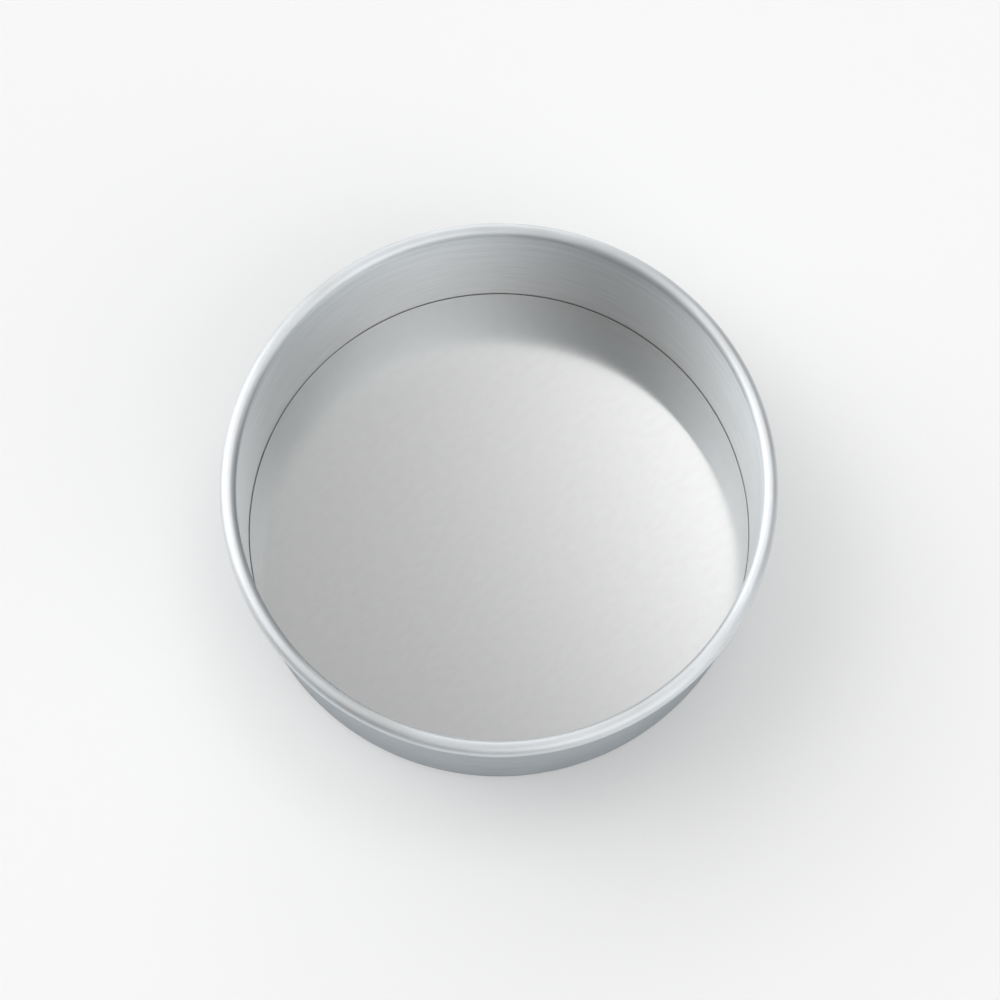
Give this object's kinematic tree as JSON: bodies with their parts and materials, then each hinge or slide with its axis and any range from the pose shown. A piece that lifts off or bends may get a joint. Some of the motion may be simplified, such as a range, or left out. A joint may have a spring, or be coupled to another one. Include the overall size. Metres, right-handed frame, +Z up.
{
  "type": "round cake tin",
  "caption": "Round straight-sided aluminium cake tin with a hollow rolled rim and a flat loose base that rests on an in-turned ledge and lifts out.",
  "frame": {"origin": "on the tin's axis, at the level of the ledge's underside that it stands on", "axes": "+Z up along the tin's axis; the tin is the same all round, so +X and +Y are any two level directions at right angles"},
  "size_m": [0.244, 0.244, 0.075],
  "materials": {
    "side_aluminium": "satin, fine spun lines round the wall",
    "base_aluminium": "satin, fine straight grain of rolled sheet"
  },
  "bodies": {
    "side": {"side_wall": "side_aluminium"},
    "base": {"loose_base": "base_aluminium"}
  },
  "joints": [
    {"name": "base_lift", "type": "slide", "parent": "side", "child": "base", "axis": [0, 0, 1], "range_m": [0, 0.1]}
  ]
}
